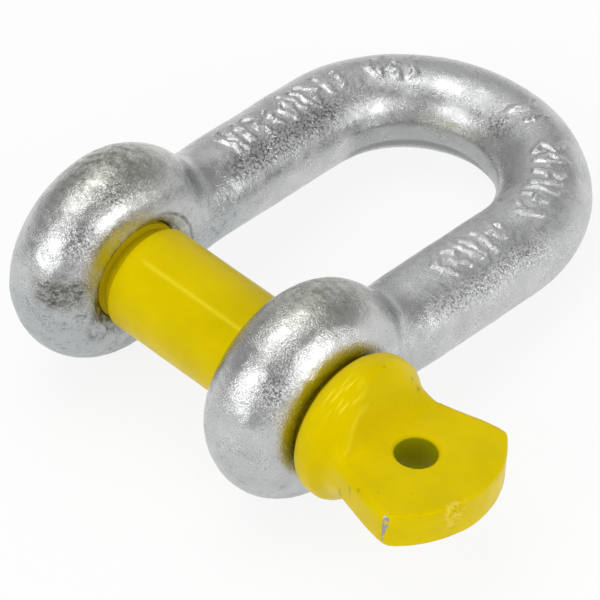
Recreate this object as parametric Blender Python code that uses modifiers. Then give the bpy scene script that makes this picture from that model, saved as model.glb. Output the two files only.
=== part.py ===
"""Screw pin dee shackle, the link that joins two lengths of chain or a chain to an anchor.

Two forgings make it. The bow is one piece: a round crown, two legs and two ears with a bore through each. The screw
pin closes the jaw between the ears. It slides in from the +X side through a plain bore and screws into a tapped bore
in the far ear, and its head is a round collar that flattens into a fish-tailed tab with an eye, for a bar or a
seizing wire.

The parts are modelled about the pin: X runs along the pin towards its head, Y towards the crown and Z is square to
the plane of the bow, with the middle of the jaw at the zero point. One empty then lays both on level ground, where
the ears and the lighter crown touch down together and the plane of the bow slopes a little towards the crown.
"""

import math

import bmesh
import bpy
from mathutils import Vector

# Driving sizes, in metres
MM = 0.001
JAW_WIDTH = 34.2 * MM  # between the inner faces of the ears, at the bores
INSIDE_LENGTH = 63.4 * MM  # from the pin to the inside of the crown
CROWN_INSIDE_WIDTH = 34.0 * MM  # across the bow where its legs meet the crown
LEG_PINCH = 0.25 * MM  # how much further in each leg stands where it meets its ear
LEG_DIAMETER = 19.5 * MM
CROWN_DIAMETER = 18.9 * MM
EAR_DIAMETER = 45.9 * MM
EAR_THICKNESS = 19.3 * MM  # at the bore; from there the faces round over to the rim
EAR_FACE_LAND = 0.6 * MM  # the flat ring round each mouth of a bore
EAR_NECK_FILLET = 4.9 * MM
ROOT_BORE_GAP = 2.0 * MM  # between a bore and the end of the leg inside its ear
ROOT_INSET = 1.25 * MM  # how far the leg dives under the faces of its ear
PIN_DIAMETER = 22.0 * MM
THREAD_STEP = 0.55 * MM  # from the shank down to the crest of the thread
BORE_SLACK = 0.6 * MM  # radial room round the shank in the plain bore
THREAD_SLACK = 0.3 * MM  # radial room round the thread in the tapped bore
BORE_CHAMFER = 1.4 * MM
BORE_CHAMFER_DEPTH = 1.05 * MM
CUT_PAST = 1.4 * MM  # how far a bore's cutter comes out past the ear
SHANK_STOP_GAP = 1.0 * MM  # the full shank ends this far short of the tapped ear
SHANK_CHAMFER = 0.6 * MM
POINT_PROUD = 0.25 * MM  # how far the thread comes out past the tapped ear
POINT_CHAMFER = 1.2 * MM
COLLAR_DIAMETER = 30.4 * MM
COLLAR_WIDTH = 4.8 * MM
COLLAR_ROUND = 3.6 * MM  # the collar's edge towards the ear
COLLAR_GAP = 0.5 * MM  # between the collar and the ear that it tightens against
SHOULDER_LENGTH = 7.7 * MM  # over which the round collar flattens into the tab
SHOULDER_TO_WAIST = 4.3 * MM  # from the collar to the narrowest place
TAB_THICKNESS = 8.0 * MM
TAB_EDGE_ROUND = 2.0 * MM
TAB_WAIST_WIDTH = 26.6 * MM
TAB_TAIL_WIDTH = 33.2 * MM
TAB_LENGTH = 34.05 * MM  # from the ear side of the collar to the middle of the tail
TAIL_BULGE = 7.9 * MM  # how far the middle of the tail stands out past its corners
TAIL_EDGE_ROUND = 0.6 * MM
EYE_DIAMETER = 8.4 * MM
EYE_TO_TAIL = 15.4 * MM
EYE_CHAMFER = 0.5 * MM

# Shapes of curves: a shoulder or a fan of 1 is a sine wave
SHOULDER_CURVE = 2.8
FAN_CURVE = 1.7

# Facets round each section and along each bend
BOW_SIDES = 28
CROWN_STEPS = 13
FILLET_STEPS = 4
LEG_STEPS = 4
EAR_STEPS = 48
EAR_CURVE_STEPS = 9
PIN_SIDES = 36
COLLAR_STEPS = 5
SHOULDER_STEPS = 11
TAIL_STEPS = 6
TAIL_EDGE_STEPS = 3
MERGE_DISTANCE = 0.01 * MM

# Worked out from the driving sizes: radii
LEG_RADIUS = LEG_DIAMETER / 2
CROWN_RADIUS = CROWN_DIAMETER / 2
EAR_RADIUS = EAR_DIAMETER / 2
PIN_RADIUS = PIN_DIAMETER / 2
THREAD_RADIUS = PIN_RADIUS - THREAD_STEP
PLAIN_BORE_RADIUS = PIN_RADIUS + BORE_SLACK
TAPPED_BORE_RADIUS = THREAD_RADIUS + THREAD_SLACK
BORE_MOUTH_RADIUS = PLAIN_BORE_RADIUS + BORE_CHAMFER
LAND_RADIUS = BORE_MOUTH_RADIUS + EAR_FACE_LAND

# Places along the pin
EAR_X = (JAW_WIDTH + EAR_THICKNESS) / 2
EAR_OUTER_X = EAR_X + EAR_THICKNESS / 2
COLLAR_X = EAR_OUTER_X + COLLAR_GAP
SHOULDER_X = COLLAR_X + COLLAR_WIDTH
WAIST_X = SHOULDER_X + SHOULDER_TO_WAIST
FLAT_X = SHOULDER_X + SHOULDER_LENGTH
TAIL_X = COLLAR_X + TAB_LENGTH
TAIL_CORNER_X = TAIL_X - TAIL_BULGE
TAIL_RADIUS = ((TAB_TAIL_WIDTH / 2) ** 2 + TAIL_BULGE**2) / (2 * TAIL_BULGE)
TAIL_CENTRE_X = TAIL_X - TAIL_RADIUS
EYE_X = TAIL_X - EYE_TO_TAIL
POINT_X = -(EAR_OUTER_X + POINT_PROUD)

# Places along the bow: its centre line is an arc round the crown with a straight leg tangent to each end
CROWN_BEND = CROWN_INSIDE_WIDTH / 2 + LEG_RADIUS
APEX_Y = PIN_RADIUS + INSIDE_LENGTH + CROWN_RADIUS
CROWN_Y = APEX_Y - CROWN_BEND
LEG_LEAN = -math.atan(LEG_PINCH / (CROWN_Y - LAND_RADIUS))
LEG_TOP_X = CROWN_BEND * math.cos(LEG_LEAN)
LEG_TOP_Y = CROWN_Y + CROWN_BEND * math.sin(LEG_LEAN)
NECK_Z = LEG_RADIUS + EAR_NECK_FILLET
NECK_Y = math.sqrt((EAR_RADIUS + EAR_NECK_FILLET) ** 2 - NECK_Z**2)
RIM_Y = NECK_Y * EAR_RADIUS / (EAR_RADIUS + EAR_NECK_FILLET)
ROOT_Y = PLAIN_BORE_RADIUS + ROOT_BORE_GAP
LEG_IN_EAR_Y = (ROOT_Y + RIM_Y) / 2

# How far the part tips, so that the ears and the crown both touch the ground
REST_TILT = math.asin((EAR_RADIUS - CROWN_RADIUS) / APEX_Y)


def clear_scene():
    for obj in list(bpy.data.objects):
        bpy.data.objects.remove(obj, do_unlink=True)


def collection(name):
    made = bpy.data.collections.new(name)
    bpy.context.scene.collection.children.link(made)
    return made


def material(name, colour, roughness, metallic):
    made = bpy.data.materials.new(name)
    made.use_nodes = True
    shader = made.node_tree.nodes["Principled BSDF"]
    shader.inputs["Base Color"].default_value = (*colour, 1.0)
    shader.inputs["Roughness"].default_value = roughness
    shader.inputs["Metallic"].default_value = metallic
    return made


def mesh_object(name, bm, where, surface=None):
    mesh = bpy.data.meshes.new(name)
    bm.to_mesh(mesh)
    bm.free()
    obj = bpy.data.objects.new(name, mesh)
    where.objects.link(obj)
    if surface:
        mesh.materials.append(surface)
    mesh.shade_smooth()
    return obj


def as_cutter(obj):
    obj.hide_render = True
    obj.display_type = "WIRE"
    return obj


def mix(a, b, t):
    return a + (b - a) * t


def ease(t):
    """A smooth step from 0 to 1."""
    t = min(max(t, 0.0), 1.0)
    return t * t * (3 - 2 * t)


def loft(bm, rings):
    """Skin rings that all have the same number of points, and return them as vertices."""
    made = [[bm.verts.new(point) for point in ring] for ring in rings]
    for low, high in zip(made, made[1:]):
        for i in range(len(low)):
            j = (i + 1) % len(low)
            bm.faces.new((low[i], low[j], high[j], high[i]))
    return made


def turned(name, profile, steps, where):
    """Turn a profile of (radius, height) points about local Z, then lay that axis along X."""
    bm = bmesh.new()
    verts = [bm.verts.new((radius, 0, height)) for radius, height in profile]
    for a, b in zip(verts, verts[1:]):
        bm.edges.new((a, b))
    obj = mesh_object(name, bm, where)
    obj.rotation_euler = (0, math.pi / 2, 0)
    screw = obj.modifiers.new("Turn", "SCREW")
    screw.axis = "Z"
    screw.angle = 2 * math.pi
    screw.steps = steps
    screw.render_steps = steps
    screw.use_merge_vertices = True
    screw.merge_threshold = MERGE_DISTANCE
    return obj


def boolean(obj, name, operation, other):
    step = obj.modifiers.new(name, "BOOLEAN")
    step.operation = operation
    step.solver = "EXACT"
    step.object = other


# The bow


def neck_height(y):
    """Half the height of a leg at y, with a fillet that climbs from the leg onto the rim of the ear."""
    if y >= NECK_Y:
        return LEG_RADIUS
    along = NECK_Y - max(y, RIM_Y)
    return NECK_Z - math.sqrt(EAR_NECK_FILLET**2 - along**2)


def leg_stations():
    """Sections of one leg, from inside the ear to the crown: (centre, side direction, half width, half height)."""
    levels = [ROOT_Y, LEG_IN_EAR_Y]
    levels += [mix(RIM_Y, NECK_Y, i / FILLET_STEPS) for i in range(FILLET_STEPS + 1)]
    levels += [mix(NECK_Y, LEG_TOP_Y, i / LEG_STEPS) for i in range(1, LEG_STEPS)]
    for y in levels:
        leg_x = LEG_TOP_X + (LEG_TOP_Y - y) * math.tan(LEG_LEAN)
        in_ear = 1 - ease((y - LEG_IN_EAR_Y) / (NECK_Y - LEG_IN_EAR_Y))
        half_width = mix(LEG_RADIUS, EAR_THICKNESS / 2 - ROOT_INSET, in_ear)
        yield Vector((mix(leg_x, EAR_X, in_ear), y, 0)), Vector((1, 0, 0)), half_width, neck_height(y)


def crown_stations():
    """Sections round one half of the crown, from the end of the leg to the middle."""
    for i in range(CROWN_STEPS + 1):
        t = i / CROWN_STEPS
        angle = mix(LEG_LEAN, math.pi / 2, t)
        side = Vector((math.cos(angle), math.sin(angle), 0))
        radius = mix(LEG_RADIUS, CROWN_RADIUS, ease(t))
        yield Vector((0, CROWN_Y, 0)) + side * CROWN_BEND, side, radius, radius


def bow_bar(name, where, surface):
    """The bent bar: crown and legs, as one half that is open at the middle and mirrored there."""
    rings = []
    for centre, side, half_width, half_height in [*leg_stations(), *crown_stations()]:
        ring = []
        for k in range(BOW_SIDES):
            turn = 2 * math.pi * k / BOW_SIDES
            up = Vector((0, 0, half_height * math.sin(turn)))
            ring.append(centre + side * half_width * math.cos(turn) + up)
        rings.append(ring)
    for point in rings[-1]:
        point.x = 0
    bm = bmesh.new()
    made = loft(bm, rings)
    bm.faces.new(made[0])
    bmesh.ops.recalc_face_normals(bm, faces=bm.faces)
    obj = mesh_object(name, bm, where, surface)
    mirror = obj.modifiers.new("Other half", "MIRROR")
    mirror.use_mirror_merge = True
    mirror.merge_threshold = MERGE_DISTANCE
    return obj


def ear_blanks(where):
    """Both ears before boring: a thick disc whose flat faces round over to the rim as quarter ellipses."""
    half = EAR_THICKNESS / 2
    rim = EAR_RADIUS - LAND_RADIUS
    face = [(0, half)]
    for i in range(EAR_CURVE_STEPS):
        turn = math.pi / 2 * i / EAR_CURVE_STEPS
        face.append((LAND_RADIUS + rim * math.sin(turn), half * math.cos(turn)))
    profile = face + [(EAR_RADIUS, 0)] + [(radius, -height) for radius, height in reversed(face)]
    profile = [(radius, EAR_X + height) for radius, height in profile]
    obj = turned("ear_blanks", profile, EAR_STEPS, where)
    mirror = obj.modifiers.new("Far ear", "MIRROR")
    mirror.use_axis = (False, False, True)
    mirror.use_mirror_merge = False
    return as_cutter(obj)


def bore_cutter(name, radius, side, where):
    """A bore with a chamfer at each mouth, through the ear on one side of the jaw."""
    face = EAR_THICKNESS / 2
    end = face + CUT_PAST
    depth = face - BORE_CHAMFER_DEPTH
    slope = (BORE_MOUTH_RADIUS - radius) / BORE_CHAMFER_DEPTH
    widest = radius + slope * (end - depth)
    outer = [(0, end), (widest, end), (radius, depth)]
    profile = outer + [(r, -height) for r, height in reversed(outer)]
    profile = [(r, side * EAR_X + height) for r, height in profile]
    return as_cutter(turned(name, profile, EAR_STEPS, where))


def shackle_body(where, cutters):
    zinc = material("galvanised steel", (0.56, 0.57, 0.58), 0.42, 1.0)
    body = bow_bar("shackle_body", where, zinc)
    boolean(body, "Ears", "UNION", ear_blanks(cutters))
    boolean(body, "Plain bore", "DIFFERENCE", bore_cutter("plain_bore", PLAIN_BORE_RADIUS, 1, cutters))
    boolean(body, "Tapped bore", "DIFFERENCE", bore_cutter("tapped_bore", TAPPED_BORE_RADIUS, -1, cutters))


# The screw pin


def section(x, half_width, half_height, round_edge):
    """One section of the pin: a rectangle with round edges, or a circle when all three sizes are the same."""
    ring = []
    flat = half_width - round_edge
    for k in range(PIN_SIDES):
        turn = 2 * math.pi * k / PIN_SIDES
        y = half_width * math.cos(turn)
        past = max(abs(y) - flat, 0.0)
        z = half_height - round_edge + math.sqrt(max(round_edge**2 - past**2, 0.0))
        if k % (PIN_SIDES // 2) == 0:
            z = 0.0
        ring.append(Vector((x, y, z if k < PIN_SIDES / 2 else -z)))
    return ring


def round_section(x, radius):
    return section(x, radius, radius, radius)


def head_half_width(x):
    """Half the width of the head at x: the collar narrows to a waist, then fans out to the tail."""
    collar, waist, tail = COLLAR_DIAMETER / 2, TAB_WAIST_WIDTH / 2, TAB_TAIL_WIDTH / 2
    if x < WAIST_X:
        return mix(collar, waist, ease((x - SHOULDER_X) / SHOULDER_TO_WAIST))
    t = (x - WAIST_X) / (TAIL_CORNER_X - WAIST_X)
    return mix(waist, tail, math.sin(max(t, 0.0) * math.pi / 2) ** FAN_CURVE)


def shank_rings():
    """Sections from the point of the thread to the collar."""
    shank_x = -JAW_WIDTH / 2 + SHANK_STOP_GAP
    return [
        round_section(POINT_X, THREAD_RADIUS - POINT_CHAMFER),
        round_section(POINT_X + POINT_CHAMFER, THREAD_RADIUS),
        round_section(shank_x, THREAD_RADIUS),
        round_section(shank_x + SHANK_CHAMFER, PIN_RADIUS),
        round_section(COLLAR_X, PIN_RADIUS),
    ]


def head_rings():
    """Sections of the collar with its round edge, of the shoulder and of the tab with its curved tail."""
    rings = []
    collar = COLLAR_DIAMETER / 2
    tab_half = TAB_THICKNESS / 2
    edge = min(TAB_EDGE_ROUND, tab_half)
    for i in range(COLLAR_STEPS + 1):
        turn = math.pi / 2 * i / COLLAR_STEPS
        x = COLLAR_X + COLLAR_ROUND * (1 - math.cos(turn))
        rings.append(round_section(x, collar - COLLAR_ROUND * (1 - math.sin(turn))))
    for i in range(SHOULDER_STEPS + 1):
        t = i / SHOULDER_STEPS
        x = mix(SHOULDER_X, FLAT_X, t)
        half_width = head_half_width(x)
        half_height = mix(collar, tab_half, math.sin(t * math.pi / 2) ** SHOULDER_CURVE)
        rings.append(section(x, half_width, half_height, mix(min(half_height, half_width), edge, t**4)))
    for i in range(1, TAIL_STEPS + 1):
        t = i / TAIL_STEPS
        x = mix(FLAT_X, TAIL_CORNER_X, t)
        ring = section(x, head_half_width(x), tab_half, edge)
        for point in ring:
            tail = TAIL_CENTRE_X - TAIL_EDGE_ROUND + math.sqrt(TAIL_RADIUS**2 - point.y**2)
            point.x += (tail - TAIL_CORNER_X) * t**2
        rings.append(ring)
    for i in range(1, TAIL_EDGE_STEPS + 1):
        turn = math.pi / 2 * i / TAIL_EDGE_STEPS
        out = TAIL_EDGE_ROUND * math.sin(turn)
        thinner = 1 - TAIL_EDGE_ROUND * (1 - math.cos(turn)) / tab_half
        rings.append([Vector((point.x + out, point.y, point.z * thinner)) for point in ring])
    return rings


def screw_pin(where, cutters):
    """The pin as one loft, from the point through thread, shank and collar to the curved end of the tab."""
    bm = bmesh.new()
    made = loft(bm, shank_rings() + head_rings())
    bm.faces.new(made[0])
    tail = made[-1]
    for k in range(PIN_SIDES // 2):
        upper = (tail[k], tail[k + 1])
        lower = (tail[-k - 1], tail[-k])
        bm.faces.new(list(dict.fromkeys((*upper, *lower))))
    bmesh.ops.recalc_face_normals(bm, faces=bm.faces)
    yellow = material("yellow paint", (0.75, 0.57, 0.0), 0.35, 0.0)
    pin = mesh_object("screw_pin", bm, where, yellow)
    boolean(pin, "Eye", "DIFFERENCE", eye_cutter(cutters))


def eye_cutter(where):
    """The eye through the tab, with a small chamfer at both faces."""
    half = TAB_THICKNESS / 2
    radius = EYE_DIAMETER / 2
    top = [(0, 2 * half), (radius + half + EYE_CHAMFER, 2 * half), (radius, half - EYE_CHAMFER)]
    profile = top + [(r, -height) for r, height in reversed(top)]
    obj = turned("eye", profile, PIN_SIDES, where)
    obj.rotation_euler = (0, 0, 0)
    obj.location = (EYE_X, 0, 0)
    return as_cutter(obj)


def lay_down(objects, where):
    """Tilt everything about the pin until ears and crown touch the ground, and centre it over the zero point."""
    ground = bpy.data.objects.new("resting_frame", None)
    where.objects.link(ground)
    reach_y = APEX_Y * math.cos(REST_TILT) + CROWN_RADIUS
    middle_x = (TAIL_X + POINT_X) / 2
    middle_y = (reach_y - EAR_RADIUS) / 2
    ground.location = (-middle_x, -middle_y, EAR_RADIUS)
    ground.rotation_euler = (-REST_TILT, 0, 0)
    for obj in objects:
        obj.parent = ground


def main():
    clear_scene()
    parts = collection("dee_shackle")
    cutters = collection("cutters")
    shackle_body(parts, cutters)
    screw_pin(parts, cutters)
    lay_down([*parts.objects, *cutters.objects], parts)
    bpy.context.view_layer.update()
    for name in ("shackle_body", "screw_pin"):
        size = bpy.data.objects[name].dimensions
        print(name, [round(side / MM, 1) for side in size], "mm")


main()
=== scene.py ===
# %% [markdown]
# # A galvanised dee shackle with a yellow screw pin
# This lesson dresses two forgings. The bow is hot-dip galvanised, so it is lumpy, bright and speckled. The pin is
# turned, flattened at one end and painted yellow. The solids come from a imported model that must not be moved, and
# the two finished pieces made here stand for them.

import math

import bmesh
import bpy
import numpy as np
from mathutils import Matrix, Vector


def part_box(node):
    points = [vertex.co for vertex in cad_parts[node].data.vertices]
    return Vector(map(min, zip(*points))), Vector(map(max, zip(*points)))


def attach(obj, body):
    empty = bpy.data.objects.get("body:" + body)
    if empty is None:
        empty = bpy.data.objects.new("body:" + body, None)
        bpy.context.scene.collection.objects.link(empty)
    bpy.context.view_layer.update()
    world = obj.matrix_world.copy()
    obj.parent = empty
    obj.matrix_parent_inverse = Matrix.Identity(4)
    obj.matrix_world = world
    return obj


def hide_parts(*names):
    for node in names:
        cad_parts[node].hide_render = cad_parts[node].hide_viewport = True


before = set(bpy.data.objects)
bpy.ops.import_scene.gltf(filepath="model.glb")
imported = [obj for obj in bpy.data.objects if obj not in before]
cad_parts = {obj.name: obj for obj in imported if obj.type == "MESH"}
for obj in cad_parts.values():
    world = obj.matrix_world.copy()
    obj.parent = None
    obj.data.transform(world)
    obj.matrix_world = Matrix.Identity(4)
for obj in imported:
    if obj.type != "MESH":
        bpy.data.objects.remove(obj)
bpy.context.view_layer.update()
MM = 0.001

# %% [markdown]
# ## A frame of our own
# The shackle lies on the ground with its bow sloping down a little towards the crown. Shapes are far easier to write
# in the shackle's own frame: X along the pin, Y towards the crown, Z square to the bow, all in millimetres and
# measured from the middle of the pin's axis. Two small functions go to and fro.

# %% The shackle's own frame
EAR_RADIUS = 22.95
CROWN_RADIUS = 9.45
CROWN_APEX_Y = 83.85
REST_TILT = math.asin((EAR_RADIUS - CROWN_RADIUS) / CROWN_APEX_Y)

bow_low, bow_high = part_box("shackle_body")
PIN_MIDDLE = np.array([(bow_low.x + bow_high.x) / 2, bow_low.y + EAR_RADIUS * MM, EAR_RADIUS * MM])
TILT = np.array(Matrix.Rotation(-REST_TILT, 3, "X"))


def to_world(points):
    return (points * MM) @ TILT.T + PIN_MIDDLE


def to_shackle(points):
    return ((points - PIN_MIDDLE) @ TILT) / MM


print("pin axis at", (PIN_MIDDLE / MM).round(2), "mm, tilt", round(math.degrees(REST_TILT), 2), "degrees")

# %% [markdown]
# ## Camera
# A long lens from far away keeps the two ears nearly the same size. The camera looks down at a little under fifty
# degrees, and it is rolled a few degrees, so its matrix is built from three axes and not from a target alone.

# %% Camera
LENS = 259.25
SENSOR = 36
AIM = Vector((-6.59, -19.41, 22.95)) * MM
VIEW_AZIMUTH, VIEW_ELEVATION, VIEW_ROLL = math.radians(-40.696), math.radians(48.585), math.radians(-6.375)
VIEW_DISTANCE = 828.82 * MM
NEAREST = 50 * MM


def direction(azimuth, elevation):
    flat = math.cos(elevation)
    return Vector((flat * math.cos(azimuth), flat * math.sin(azimuth), math.sin(elevation)))


back = direction(VIEW_AZIMUTH, VIEW_ELEVATION)
level_right = Vector((0, 0, 1)).cross(back).normalized()
level_up = back.cross(level_right)
right = level_right * math.cos(VIEW_ROLL) + level_up * math.sin(VIEW_ROLL)
up = back.cross(right)

lens = bpy.data.cameras.new("camera")
lens.lens = LENS
lens.sensor_width = SENSOR
lens.clip_start = NEAREST
camera = bpy.data.objects.new("camera", lens)
bpy.context.scene.collection.objects.link(camera)
stand = Matrix((right, up, back)).transposed().to_4x4()
stand.translation = AIM + back * VIEW_DISTANCE
camera.matrix_world = stand
bpy.context.scene.camera = camera
print("camera at", [round(v / MM) for v in stand.translation], "mm")

# %% [markdown]
# ## Light
# Zinc shows the room more than it shows itself. Two tall soft boxes stand left and right of the camera, and each
# draws one long white streak on an ear, with the darker room between them. A third box hangs overhead, and a faint
# one behind lifts the far side of the crown. Area lamps give that with no noise, and each is set by the radiance that
# a mirror would show, so that its size can change without its brightness.

# %% Soft boxes
LIT_PLACE = Vector((0, 0, 20)) * MM
SOFT_BOXES = [
    # name, azimuth, elevation, distance, width, height, radiance
    ("left_soft_box", -96, 31, 1.1, 0.80, 0.74, 2.25),
    ("right_soft_box", 8, 19, 1.1, 0.72, 0.95, 2.3),
    ("top_soft_box", 172, 77, 1.2, 1.1, 0.8, 1.95),
    ("back_fill", 135, 32, 1.5, 1.3, 0.9, 0.3),
]

for name, azimuth, elevation, distance, width, height, radiance in SOFT_BOXES:
    lamp = bpy.data.lights.new(name, "AREA")
    lamp.shape = "RECTANGLE"
    lamp.size, lamp.size_y = width, height
    lamp.energy = radiance * math.pi * width * height
    box = bpy.data.objects.new(name, lamp)
    bpy.context.scene.collection.objects.link(box)
    towards = direction(math.radians(azimuth), math.radians(elevation))
    box.location = LIT_PLACE + towards * distance
    box.rotation_euler = towards.to_track_quat("Z", "Y").to_euler()
    print(name, "radiance", radiance, "power", round(lamp.energy, 2), "W")

# %% [markdown]
# ## A small helper for nodes
# Every finish below is a tree of shader nodes. One function adds a node, sets its options and fills or links its
# sockets, so that each finish reads as a list of what it is made of. The others are short names for the nodes that
# come up again and again. They add to the material that is being made, whose tree is always called tree.


# %% Adding a shader node
def fill(tree, socket, value):
    if isinstance(value, bpy.types.NodeSocket):
        tree.links.new(value, socket)
    else:
        socket.default_value = value


def add_node(tree, kind, sockets, **options):
    node = tree.nodes.new(kind)
    for name, value in options.items():
        setattr(node, name, value)
    for name, value in sockets.items():
        fill(tree, node.inputs[name], value)
    return node


def new_tree(name):
    material = bpy.data.materials.new(name)
    material.use_nodes = True
    tree = material.node_tree
    tree.nodes.clear()
    return material, tree, tree.nodes.new("ShaderNodeOutputMaterial")


def maths(operation, a, b):
    return add_node(tree, "ShaderNodeMath", {0: a, 1: b}, operation=operation).outputs["Value"]


def times(a, b):
    return maths("MULTIPLY", a, b)


print("node helpers:", ", ".join(f.__name__ for f in (fill, add_node, new_tree, maths, times)))

# %% [markdown]
# ## The room and the table
# The room is a plain grey, paler towards the horizon. The table is white. To the camera, and in reflections, most
# of its light is a plain white of strength one, so the page behind the shackle stays white while the soft shadow
# under it still shows.

# %% Room
HORIZON_GREY, CEILING_GREY = 0.54, 0.40
FADE_FROM, FADE_TO = 0.03, 0.3  # height of the direction in which the grey changes

world = bpy.data.worlds.new("room")
bpy.context.scene.world = world
world.use_nodes = True
room = world.node_tree
room.nodes.clear()
way = add_node(room, "ShaderNodeTexCoord", {})
height = add_node(room, "ShaderNodeSeparateXYZ", {"Vector": way.outputs["Generated"]})
fade = add_node(
    room,
    "ShaderNodeMapRange",
    {
        "Value": height.outputs["Z"],
        "From Min": FADE_FROM,
        "From Max": FADE_TO,
        "To Min": HORIZON_GREY,
        "To Max": CEILING_GREY,
    },
    interpolation_type="SMOOTHSTEP",
)
wall = add_node(room, "ShaderNodeBackground", {"Color": fade.outputs["Result"]})
add_node(room, "ShaderNodeOutputWorld", {"Surface": wall.outputs["Background"]})
print("room:", len(room.nodes), "nodes")

# %% Table
TABLE_SIDE = 12.0
TABLE_OWN_LIGHT = 0.86

white, tree, output = new_tree("white table")
rays = add_node(tree, "ShaderNodeLightPath", {}).outputs
seen = maths("MAXIMUM", rays["Is Camera Ray"], rays["Is Glossy Ray"])
seen = maths("MAXIMUM", seen, rays["Is Transmission Ray"])
matt = add_node(tree, "ShaderNodeBsdfDiffuse", {"Color": (0.9, 0.9, 0.9, 1)})
glow = add_node(tree, "ShaderNodeEmission", {"Color": (1, 1, 1, 1), "Strength": 1.0})
both = add_node(
    tree,
    "ShaderNodeMixShader",
    {0: times(seen, TABLE_OWN_LIGHT), 1: matt.outputs["BSDF"], 2: glow.outputs["Emission"]},
)
fill(tree, output.inputs["Surface"], both.outputs["Shader"])

sheet = bpy.data.meshes.new("table")
half = TABLE_SIDE / 2
sheet.from_pydata([(-half, -half, 0), (half, -half, 0), (half, half, 0), (-half, half, 0)], [], [(0, 1, 2, 3)])
sheet.materials.append(white)
table = bpy.data.objects.new("table", sheet)
bpy.context.scene.collection.objects.link(table)
print("table:", TABLE_SIDE, "m square")

# %% [markdown]
# ## Tools for dense meshes
# Forging marks are made by moving the points of a dense mesh, and NumPy does that for a hundred thousand points in
# a moment. The helpers read and write the points, relax them towards their neighbours, and give a smooth random
# field. The field is a sum of waves in random directions, so the size of its lumps is known in millimetres. The
# smooth steps say where something starts and stops, with no hard edge.


# %% Reading, writing and relaxing points
def points_of(mesh):
    flat = np.empty(len(mesh.vertices) * 3)
    mesh.vertices.foreach_get("co", flat)
    return to_shackle(flat.reshape(-1, 3))


def set_points(mesh, points):
    mesh.vertices.foreach_set("co", to_world(points).ravel())
    mesh.update()


def normals_of(mesh):
    flat = np.empty(len(mesh.vertices) * 3)
    mesh.vertex_normals.foreach_get("vector", flat)
    return flat.reshape(-1, 3) @ TILT


def relaxed(mesh, points, rounds, share=0.5):
    """Each round moves every point by its share of the way to the mean of its neighbours."""
    pairs = np.empty(len(mesh.edges) * 2, int)
    mesh.edges.foreach_get("vertices", pairs)
    a, b = pairs.reshape(-1, 2).T
    count = np.bincount(a, minlength=len(points)) + np.bincount(b, minlength=len(points))
    for _ in range(rounds):
        total = np.empty_like(points)
        for axis in range(3):
            column = points[:, axis]
            total[:, axis] = np.bincount(a, column[b], len(points)) + np.bincount(b, column[a], len(points))
        points = points + (total / count[:, None] - points) * share
    return points


def triangles_in(mesh):
    return sum(len(face.vertices) - 2 for face in mesh.polygons)


for name, solid in sorted(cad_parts.items()):
    print(name, "comes with", triangles_in(solid.data), "triangles")


# %% Random fields
def lumps(points, size, seed, waves=40):
    """A smooth random field whose lumps are about size apart: mean 0, and mostly between -2 and 2."""
    draw = np.random.default_rng(seed)
    way = draw.normal(size=(waves, 3))
    way /= np.linalg.norm(way, axis=1)[:, None]
    steps = 2 * np.pi / size * draw.uniform(0.65, 1.35, waves)
    return np.cos(points @ (way * steps[:, None]).T + draw.uniform(0, 2 * np.pi, waves)).sum(1) * math.sqrt(2 / waves)


print("a field of 5 mm lumps, at three points:", lumps(np.eye(3), 5, seed=1).round(2))


# %% Smooth steps
def ease(t):
    """A smooth step from 0 to 1."""
    t = np.clip(t, 0, 1)
    return t * t * (3 - 2 * t)


def rising(value, start, width):
    """0 up to the start, then a smooth step up to 1."""
    return ease((value - start) / width)


def falling(value, end, width):
    """1 at first, then a smooth step down to 0, reached at the end."""
    return ease((end - value) / width)


def hump(value, middle, reach):
    """1 in the middle, down to 0 at the reach on both sides."""
    return ease(1 - np.abs(value - middle) / reach)


def line_at(offset, width):
    """1 on a line, and less and less away from it."""
    return np.exp(-((offset / width) ** 2))


def near(points, place, reach):
    """1 at a place, down to 0 at its reach, which may differ along X, Y and Z."""
    return ease(1 - np.linalg.norm((points - place) / reach, axis=1))


def mix(a, b, t):
    return a + (b - a) * t


print("a step that rises from 1 to 3, at 1.5:", round(float(rising(1.5, 1, 2)), 3))

# %% [markdown]
# ### Objects and modifiers
# Remesh and Boolean are modifiers. Blender's apply button needs the right object to be selected, so a script does
# better to read the mesh that the modifiers give and to put it in place of the old one.


# %% Objects and modifiers
def new_object(name, mesh):
    made = bpy.data.objects.new(name, mesh)
    bpy.context.scene.collection.objects.link(made)
    return made


def applied(obj):
    """Give the object the mesh that its modifiers make, and drop them."""
    graph = bpy.context.evaluated_depsgraph_get()
    made = bpy.data.meshes.new_from_object(obj.evaluated_get(graph))
    obj.modifiers.clear()
    obj.data = made


def cut_or_join(obj, operation, tools):
    """Boolean each tool with the object, and throw the tools away."""
    for tool in tools:
        step = obj.modifiers.new(operation, "BOOLEAN")
        step.operation = operation
        step.solver = "MANIFOLD"
        step.object = tool
    applied(obj)
    for tool in tools:
        bpy.data.objects.remove(tool)


# %% [markdown]
# ## Tubes of rings
# Plugs, drills and the pin are all skins over rings of points. Where the rings are round they lie round the pin's
# axis, and a radius that changes as it goes round is all that a thread needs.


# %% Tubes of rings
def full_turn(sides):
    return np.linspace(0, 2 * np.pi, sides, endpoint=False)


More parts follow.
